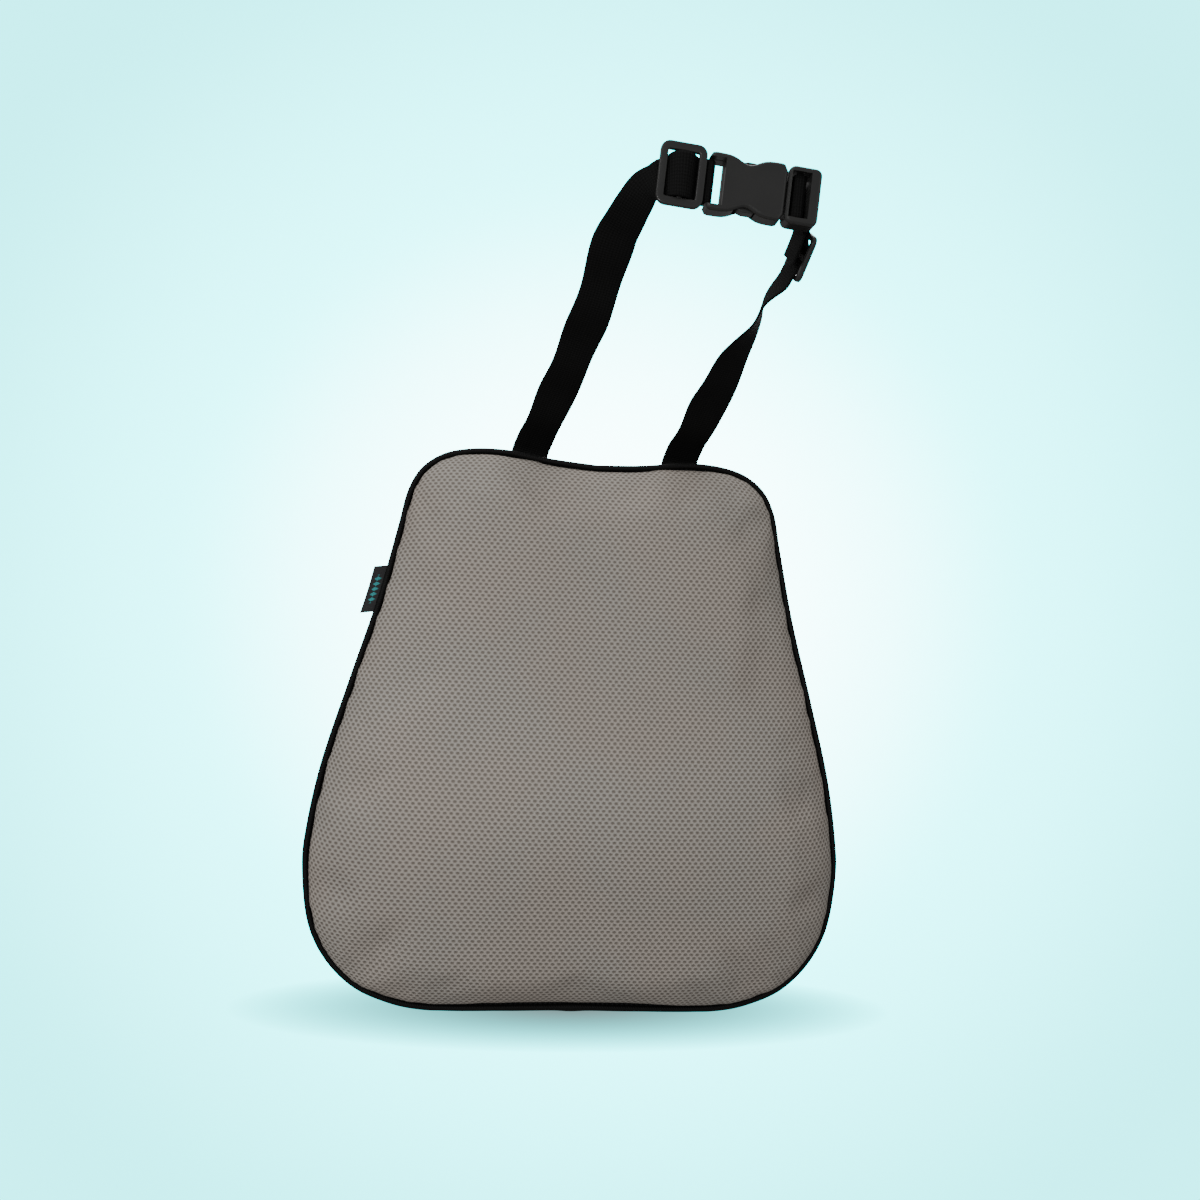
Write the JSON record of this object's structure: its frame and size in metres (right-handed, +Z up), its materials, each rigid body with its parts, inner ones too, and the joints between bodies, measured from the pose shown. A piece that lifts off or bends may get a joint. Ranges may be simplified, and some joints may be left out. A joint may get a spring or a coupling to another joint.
{
  "type": "lumbar support cushion",
  "caption": "Bell-shaped lumbar support cushion with air-mesh front, piped side band, zipped back and an adjustable webbing loop with a side-release buckle.",
  "frame": {"origin": "centre of the flat base, on the surface the cushion stands on", "axes": "+Z up along the cushion's height, -Y out of the padded front, +X to the right when facing the front"},
  "size_m": [0.3542, 0.1657, 0.5277],
  "materials": {
    "memory_foam": "matte open-cell foam",
    "liner_cloth": "matte knitted liner",
    "air_mesh": "grey spacer mesh, matte",
    "gusset_fabric": "black spacer mesh, matte",
    "back_mesh": "black mesh, matte",
    "piping": "black bound piping, matte",
    "zip_tape": "black woven tape",
    "zip_coil": "black nylon coil",
    "zip_metal": "black enamelled zinc",
    "label": "black woven label",
    "webbing": "black polypropylene webbing",
    "buckle_plastic": "black acetal, satin"
  },
  "bodies": {
    "cushion": {"foam_core": "memory_foam", "inner_liner": "liner_cloth", "front_panel": "air_mesh", "side_band": "gusset_fabric", "back_panel": "back_mesh", "piping_front": "piping", "piping_back": "piping", "zip_tape_upper": "zip_tape", "zip_tape_lower": "zip_tape", "zip_coil_upper": "zip_coil", "zip_coil_lower": "zip_coil", "zip_stop_left": "zip_metal", "zip_stop_right": "zip_metal", "label_tag": "label", "strap_anchor_left": "webbing", "strap_anchor_right": "webbing"},
    "zip_runner": {"zip_slider": "zip_metal"},
    "zip_tab": {"zip_pull": "zip_metal"},
    "strap_loop": {"strap_left": "webbing", "strap_right": "webbing", "buckle_socket": "buckle_plastic"},
    "left_adjuster": {"slider_left": "buckle_plastic"},
    "right_adjuster": {"slider_right": "buckle_plastic"},
    "plug": {"buckle_plug": "buckle_plastic"},
    "upper_prong": {"prong_upper": "buckle_plastic"},
    "lower_prong": {"prong_lower": "buckle_plastic"}
  },
  "joints": [
    {"name": "loop_swing", "type": "hinge", "parent": "cushion", "child": "strap_loop", "pos_m": [0, 0.01, 0.369], "axis": [1, 0, 0], "range_deg": [-130, 40]},
    {"name": "left_adjust", "type": "slide", "parent": "strap_loop", "child": "left_adjuster", "axis": [0.9981, 0, -0.061], "range_m": [-0.012, 0], "deforming": ["strap_left"]},
    {"name": "plug_slide", "type": "slide", "parent": "strap_loop", "child": "plug", "axis": [0.9981, 0, -0.061], "range_m": [0, 0.034], "deforming": ["strap_right"]},
    {"name": "right_adjust", "type": "slide", "parent": "plug", "child": "right_adjuster", "axis": [0.2001, -0.5202, 0.8303], "range_m": [-0.008, 0]},
    {"name": "upper_prong_flex", "type": "hinge", "parent": "plug", "child": "upper_prong", "pos_m": [0.0845, -0.1235, 0.517], "axis": [0, 1, 0], "range_deg": [-6, 0], "stiffness_Nm_per_rad": 0.05},
    {"name": "lower_prong_flex", "type": "hinge", "parent": "plug", "child": "lower_prong", "pos_m": [0.08311, -0.1235, 0.49424], "axis": [0, 1, 0], "range_deg": [0, 6], "stiffness_Nm_per_rad": 0.05},
    {"name": "zip_run", "type": "slide", "parent": "cushion", "child": "zip_runner", "axis": [1, 0, 0], "range_m": [0, 0.242]},
    {"name": "pull_turn", "type": "hinge", "parent": "zip_runner", "child": "zip_tab", "pos_m": [-0.121, 0.0332, 0.078], "axis": [0, 0, 1], "range_deg": [0, 180]}
  ],
  "couplings": [
    {"joint": "lower_prong_flex", "follows": "upper_prong_flex", "ratio": -1}
  ]
}
